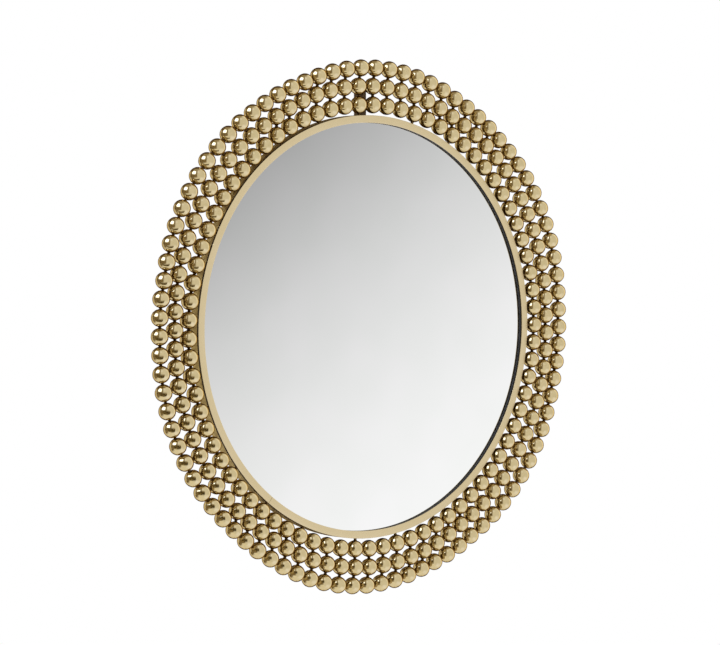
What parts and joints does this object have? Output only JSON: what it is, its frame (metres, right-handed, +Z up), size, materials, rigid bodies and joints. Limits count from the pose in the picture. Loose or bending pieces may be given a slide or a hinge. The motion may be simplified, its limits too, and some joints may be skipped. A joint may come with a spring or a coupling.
{
  "type": "round wall mirror",
  "caption": "Round wall mirror in a narrow brass hoop, ringed by three courses of welded brass balls, with a keyhole hanger behind.",
  "frame": {"origin": "where the axis of the hanging screw meets the wall, behind the seat of the hanger's keyhole slot", "axes": "the wall is the plane Y = 0, the glass faces -Y, +Z is up and +X is to the right for someone who faces the mirror; the hoop's centre is 339.3 mm below the origin"},
  "size_m": [0.7964, 0.0341, 0.8043],
  "materials": {
    "hoop_brass": "satin brushed",
    "ball_brass": "polished",
    "weld_bronze": "dark, as welded",
    "mirror_glass": "silvered float glass",
    "rubber": "matte moulded",
    "card": "brown corrugated card",
    "board": "dark fibreboard",
    "blackened_steel": "black",
    "zinc_steel": "zinc plated"
  },
  "bodies": {
    "mirror": {"rim": "hoop_brass", "glass_gasket": "rubber", "mirror_glass": "mirror_glass", "card_sheet": "card", "backing_board": "board", "inner_balls": "ball_brass", "middle_balls": "ball_brass", "outer_balls": "ball_brass", "inner_row_welds": "weld_bronze", "middle_row_welds": "weld_bronze", "outer_row_welds": "weld_bronze", "rim_welds": "weld_bronze", "inner_to_middle_welds": "weld_bronze", "middle_to_outer_welds": "weld_bronze", "hanger_plate": "blackened_steel", "hanger_post": "blackened_steel", "button_studs": "zinc_steel", "button_nuts": "zinc_steel", "wall_bumpers": "rubber"},
    "turn_button_1": {"turn_button_1": "zinc_steel"},
    "turn_button_2": {"turn_button_2": "zinc_steel"},
    "turn_button_3": {"turn_button_3": "zinc_steel"},
    "turn_button_4": {"turn_button_4": "zinc_steel"},
    "turn_button_5": {"turn_button_5": "zinc_steel"},
    "turn_button_6": {"turn_button_6": "zinc_steel"}
  },
  "joints": [
    {"name": "turn_button_1_pivot", "type": "hinge", "parent": "mirror", "child": "turn_button_1", "pos_m": [0.3163, -0.0044, -0.3393], "axis": [0, 1, 0], "continuous": true},
    {"name": "turn_button_2_pivot", "type": "hinge", "parent": "mirror", "child": "turn_button_2", "pos_m": [0.15815, -0.0044, -0.06538], "axis": [0, 1, 0], "continuous": true},
    {"name": "turn_button_3_pivot", "type": "hinge", "parent": "mirror", "child": "turn_button_3", "pos_m": [-0.15815, -0.0044, -0.06538], "axis": [0, 1, 0], "continuous": true},
    {"name": "turn_button_4_pivot", "type": "hinge", "parent": "mirror", "child": "turn_button_4", "pos_m": [-0.3163, -0.0044, -0.3393], "axis": [0, 1, 0], "continuous": true},
    {"name": "turn_button_5_pivot", "type": "hinge", "parent": "mirror", "child": "turn_button_5", "pos_m": [-0.15815, -0.0044, -0.61322], "axis": [0, 1, 0], "continuous": true},
    {"name": "turn_button_6_pivot", "type": "hinge", "parent": "mirror", "child": "turn_button_6", "pos_m": [0.15815, -0.0044, -0.61322], "axis": [0, 1, 0], "continuous": true}
  ]
}
